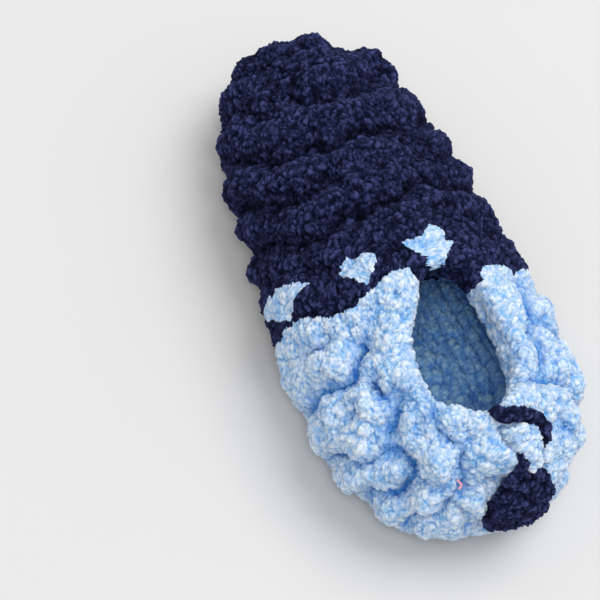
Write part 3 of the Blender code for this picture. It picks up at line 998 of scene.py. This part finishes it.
    # Under the foot and on the lining's floor the pale yarn goes on further.
    lining_floor = (depth > 5) & ((t < 0.25) | (to_rim > 16))
    navy &= ~(lining_floor & (points[:, 1] < 70))
    tall, nub, own, gap = (np.zeros(len(points)) for _ in range(4))
    for mask, *size in ((navy, 4.4, 2.05, 51, 1.7, 2.0), (~navy, 5.2, 2.1, 51, 2.7, 1.60, 0.30, 0.16, 0.20)):
        tall[mask], nub[mask], own[mask], gap[mask] = tufts(moved[mask], *size)
    mixed = relax(navy.astype(float), quads, 2)
    mixed = np.clip(4 * mixed * (1 - mixed), 0, 1)
    tall += mixed * (relax(tall, quads, 3) - tall)
    moved = moved + normal * (tall * (1 - 0.35 * inner))[:, None]
    # Nothing goes below the outsole's underside or into it.
    floor = (UNDERSIDE + 0.0002) / MM + spring((moved[:, 1] * MM - SHIFT)) / MM
    moved[:, 2] = np.where((outer > 0.5) & (t < 0), np.maximum(moved[:, 2], np.where(t < -0.4, floor, 0.6)), moved[:, 2])

    # Painted shade for the materials: darker along the crease lines and where the knit is pushed in.
    crease_shade = np.clip(0.70 * dark + 0.40 * np.clip(-big / 6.0, 0, 1), 0, 1)

    return moved, dict(nub=nub, fold=crease_shade, tint=own, gap=gap), dict(
        s=s, t=t, depth=depth, to_rim=to_rim, navy=navy, outer=outer, inner=inner
    )


def chart(quads, points, s, t, offset):
    """A map for baking: each side of the shoe has its own half."""
    centre = points[quads].mean(1)
    left = centre[:, 0] < 0
    u = np.abs(s)[quads] * 0.96 + 0.02
    v = (t[quads] + 1) / 2 * 0.46 + 0.02
    v = np.where(left[:, None], v, v + 0.5)
    return np.stack([u, v], -1).reshape(-1, 2)


def most_common(values, quads):
    return values[quads].sum(1) >= 2


places = Places()
body_points, body_quads = base_upper(FINE, 6)
body_moved, body_fields, info = shape_knit(body_points, body_quads, places, FINE)
face_t = info["t"][body_quads].mean(1)
face_x, face_y, _ = body_points[body_quads].mean(1).T
face_depth = info["depth"][body_quads].mean(1)
face_rim = info["to_rim"][body_quads].mean(1)
navy_face = most_common(info["navy"], body_quads)
outside = (face_depth < 5.0) | (face_rim < 13.0)
underneath = outside & (face_t < -0.40)
deep_toe = ~outside & (face_y > 2.0)
shown = outside & ~underneath
lining_faces = ~outside & ~deep_toe
front = face_y > 52.0
left_side = face_x < -12.0

pieces = {}
for name, mask, material, slot in (
    ("knit_toe", shown & navy_face & front, NAVY, "navy_yarn"),
    ("knit_instep", shown & navy_face & ~front, NAVY, "navy_yarn"),
    ("knit_heel", shown & ~navy_face & left_side, PALE, "pale_blue_yarn"),
    ("knit_heel_right", shown & ~navy_face & ~left_side, PALE, "pale_blue_yarn"),
    ("knit_lining", lining_faces & ~navy_face & (face_x < 0), PALE_IN_SHADE, "pale_blue_yarn"),
    ("knit_lining_right", lining_faces & ~navy_face & (face_x >= 0), PALE_IN_SHADE, "pale_blue_yarn"),
    ("knit_lining_navy", lining_faces & navy_face, NAVY, "navy_yarn"),
):
    quads = body_quads[mask]
    if not len(quads):
        continue
    piece = make_piece(name, body_moved, quads, body_fields, chart(quads, body_points, info["s"], info["t"], 0))
    piece.data.materials.append(material)
    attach(piece, "root")
    pieces[name] = piece
    print("piece", name, len(quads) * 2)

# The stretches that nothing shows, under the sole and inside the toe.
rest_points, rest_quads = base_upper(COARSE, 2)
rest_moved, rest_fields, rest_info = shape_knit(rest_points, rest_quads, places, COARSE)
rest_t = rest_info["t"][rest_quads].mean(1)
rest_y = rest_points[rest_quads][:, :, 1].mean(1)
rest_depth = rest_info["depth"][rest_quads].mean(1)
rest_rim = rest_info["to_rim"][rest_quads].mean(1)
rest_out = (rest_depth < 5.0) | (rest_rim < 13.0)
rest_navy = most_common(rest_info["navy"], rest_quads)
for name, mask, material, slot in (
    ("knit_underside", rest_out & (rest_t < -0.38) & ~rest_navy, PALE, "pale_blue_yarn"),
    ("knit_underside_navy", rest_out & (rest_t < -0.38) & rest_navy, NAVY, "navy_yarn"),
    ("knit_toe_inside", ~rest_out & (rest_y > 0.0), NAVY, "navy_yarn"),
):
    quads = rest_quads[mask]
    piece = make_piece(name, rest_moved, quads, rest_fields, chart(quads, rest_points, rest_info["s"], rest_info["t"], 0))
    piece.data.materials.append(material)
    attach(piece, "root")
    pieces[name] = piece
    print("piece", name, len(quads) * 2)
for piece in pieces.values():
    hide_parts("upper")


# ------------------------------------------------------------------ heel yarns
def tube_points(route, radius, voxel, evens=4):
    """A round yarn along a route (mm), as even quads, mm."""
    curve = bpy.data.curves.new("yarn_base", "CURVE")
    curve.dimensions = "3D"
    curve.bevel_depth = 1.0
    curve.bevel_resolution = 4
    curve.use_fill_caps = True
    spline = curve.splines.new("POLY")
    spline.points.add(len(route) - 1)
    for point, co, r in zip(spline.points, route, radius):
        point.co = (*(np.array(co) * MM), 1.0)
        point.radius = r * MM
    obj = bpy.data.objects.new("yarn_base", curve)
    bpy.context.scene.collection.objects.link(obj)
    revoxel(obj, voxel, evens)
    points, quads = read_mesh(obj)
    bpy.data.objects.remove(obj)
    return points, quads


def fluff(points, quads, medium_cell, small_cell, share, seed):
    """Pile on a yarn or patch that was made on its own."""
    normal = normals_of(points, quads)
    tall, nub, own, gap = tufts(points, medium_cell, small_cell, seed)
    return points + normal * (share * tall)[:, None], dict(nub=nub, fold=0 * nub, tint=own, gap=gap)


def lay(rows, lift_mm):
    rows = np.array(rows, float)
    at = np.linspace(0, 1, len(rows))
    fine = np.linspace(0, 1, 48)
    s, t, lift = (through(at, rows[:, k], fine) for k in range(3))
    return knit(s, t) / MM + knit_normal(s, t) * (lift_mm + lift)[:, None]


def add_yarn(name, points, quads, fields, node):
    piece = make_piece(name, points, quads, fields)
    piece.data.materials.append(NAVY)
    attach(piece, "root")
    if node:
        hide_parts(node)
    return piece


loop = lay(LOOP, 3.3)[5:]
start = loop[0]
inside_end = np.array([start + (0.0, 2.2, -1.2), start + (0.0, 4.0, -4.5), start + (0.0, 4.6, -9.0), start + (0.0, 4.6, -14.0)])[::-1]
loop = np.concatenate([inside_end, loop])
at = np.linspace(0, 1, len(loop))
radius = 2.8 * np.interp(at, (0, 0.1, 0.76, 0.86, 0.92, 1.0), (0.75, 0.95, 1.05, 0.85, 0.42, 0.28))
loop_points, loop_quads = tube_points(loop, radius, FINE)
loop_points, loop_fields = fluff(loop_points, loop_quads, 3.6, 1.9, 0.85, 201)
add_yarn("heel_loop_yarn", loop_points, loop_quads, loop_fields, "heel_loop")

strand = lay(STRAND, 1.2)
strand_points, strand_quads = tube_points(strand, np.interp(np.linspace(0, 1, len(strand)), (0, 0.2, 0.8, 1), (0.9, 1.9, 2.1, 1.6)), FINE)
strand_points, strand_fields = fluff(strand_points, strand_quads, 3.0, 1.7, 0.60, 241)
add_yarn("heel_strand", strand_points, strand_quads, strand_fields, None)


def patch_mesh():
    """The heel patch's own solid, as even quads, mm."""
    base = bpy.data.objects.new("patch_base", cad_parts["heel_patch"].data.copy())
    bpy.context.scene.collection.objects.link(base)
    mod = base.modifiers.new("joined", "WELD")
    mod.merge_threshold = 0.00002
    mod = base.modifiers.new("smoother", "SUBSURF")
    mod.levels = mod.render_levels = 1
    revoxel(base, FINE, 8)
    points, quads = read_mesh(base)
    bpy.data.objects.remove(base)
    return points, quads


patch_points, patch_quads = patch_mesh()
patch_s, patch_t, patch_depth, _ = places.find(patch_points)
patch_points = patch_points + knit_normal(patch_s, patch_t) * (0.38 * np.minimum(patch_depth, 0))[:, None]
# Its left edge leans to the right towards its upper end.
left_share = ease((PATCH_ALONG[1] - patch_s) / (PATCH_ALONG[1] - PATCH_ALONG[0]))
lean = left_share * np.interp(patch_t, (-0.10, 0.05, 0.30, 0.50), (0.022, 0.007, 0.008, 0.020))
patch_points += (knit(np.clip(patch_s + lean, -0.9, 0.9), patch_t) - knit(patch_s, patch_t)) / MM
patch_points = warp(patch_points, 5.0, 0.9, 321)
patch_normal = normals_of(patch_points, patch_quads)
f1, _, _ = nubs(warp(patch_points, 8.0, 2.0, 301), 8.5, 305)
patch_points = patch_points + patch_normal * (2.2 * (0.55 - f1))[:, None]
patch_points, patch_fields = fluff(patch_points, patch_quads, 4.0, 1.9, 1.05, 311)
patch_points[:, 2] = np.maximum(patch_points[:, 2], 0.8)
add_yarn("heel_patch_knit", patch_points, patch_quads, patch_fields, "heel_patch")

# A short pink fibre caught in the pale heel.
fibre_at = lay(((-.0830, .515, 0.6), (-.0790, .502, 2.0), (-.0765, .486, 2.0), (-.0780, .468, 2.2), (-.0790, .452, 0.8)), 1.6)
fibre_points, fibre_quads = tube_points(fibre_at, np.full(len(fibre_at), 0.45), 0.00025, 2)
fibre = make_piece("pink_fibre", fibre_points, fibre_quads)
fibre.data.materials.append(pink_material())
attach(fibre, "root")

# The outsole keeps its CAD solid.
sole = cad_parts["outsole"]
sole.data.materials.clear()
sole.data.materials.append(grip_material())


# ---------------------------------------------------------------------- stage
def floor():
    n = Nodes("floor_paint")
    colour = n.ramp(n.noise(6.0, 2.0), ((0.3, (0.634, 0.631, 0.631)), (0.7, (0.640, 0.637, 0.637))))
    n.link(colour, n.shader.inputs["Base Color"])
    n.shader.inputs["Roughness"].default_value = 0.9
    n.shader.inputs["Specular IOR Level"].default_value = 0.1
    bm = bmesh.new()
    bmesh.ops.create_grid(bm, x_segments=2, y_segments=2, size=3.0)
    mesh = bpy.data.meshes.new("floor")
    bm.to_mesh(mesh)
    bm.free()
    obj = bpy.data.objects.new("floor", mesh)
    bpy.context.scene.collection.objects.link(obj)
    obj.data.materials.append(n.made)


def light(name, at, to, size, power, colour=(1, 1, 1)):
    data = bpy.data.lights.new(name, "AREA")
    data.shape = "DISK"
    data.size = size
    data.energy = power
    data.color = colour
    obj = bpy.data.objects.new(name, data)
    obj.location = at
    obj.rotation_mode = "QUATERNION"
    obj.rotation_quaternion = (Vector(to) - Vector(at)).to_track_quat("-Z", "Y")
    bpy.context.scene.collection.objects.link(obj)


floor()
scene = bpy.context.scene
scene.view_settings.view_transform = "Standard"
world = bpy.data.worlds.new("studio")
world.use_nodes = True
world.node_tree.nodes["Background"].inputs["Color"].default_value = (1.0, 1.0, 1.0, 1.0)
world.node_tree.nodes["Background"].inputs["Strength"].default_value = 0.655
scene.world = world
light("key", (1.30, 0.15, 3.0), (0.0, -0.02, 0.03), 2.5, 64.0, (1.0, 0.99, 0.98))
light("fill", (-1.05, -1.45, 2.8), (0.0, -0.05, 0.03), 1.5, 28.0)

# --------------------------------------------------------------------- camera
AZIMUTH, ELEVATION, ROLL = math.radians(-34.32), math.radians(54.29), math.radians(15.99)
DISTANCE, FOCAL_PX = 0.96779, 2129.88
OFF_X, OFF_Y = -0.03981, -0.01713
TARGET = np.array([0.0, SHIFT, 0.035])

back = np.array([
    math.sin(AZIMUTH) * math.cos(ELEVATION),
    -math.cos(AZIMUTH) * math.cos(ELEVATION),
    math.sin(ELEVATION),
])
right = np.array([math.cos(AZIMUTH), math.sin(AZIMUTH), 0.0])
up = np.cross(back, right)
rolled_right = math.cos(ROLL) * right + math.sin(ROLL) * up
rolled_up = -math.sin(ROLL) * right + math.cos(ROLL) * up
eye = TARGET + back * DISTANCE + rolled_right * OFF_X + rolled_up * OFF_Y
camera = bpy.data.cameras.new("camera")
camera.sensor_width = 36.0
camera.lens = FOCAL_PX / 600 * 36.0
camera.clip_start, camera.clip_end = 0.01, 20.0
seen_from = bpy.data.objects.new("camera", camera)
seen_from.matrix_world = Matrix((
    (rolled_right[0], rolled_up[0], back[0], eye[0]),
    (rolled_right[1], rolled_up[1], back[1], eye[1]),
    (rolled_right[2], rolled_up[2], back[2], eye[2]),
    (0.0, 0.0, 0.0, 1.0),
))
bpy.context.scene.collection.objects.link(seen_from)
scene.camera = seen_from

bpy.context.view_layer.update()
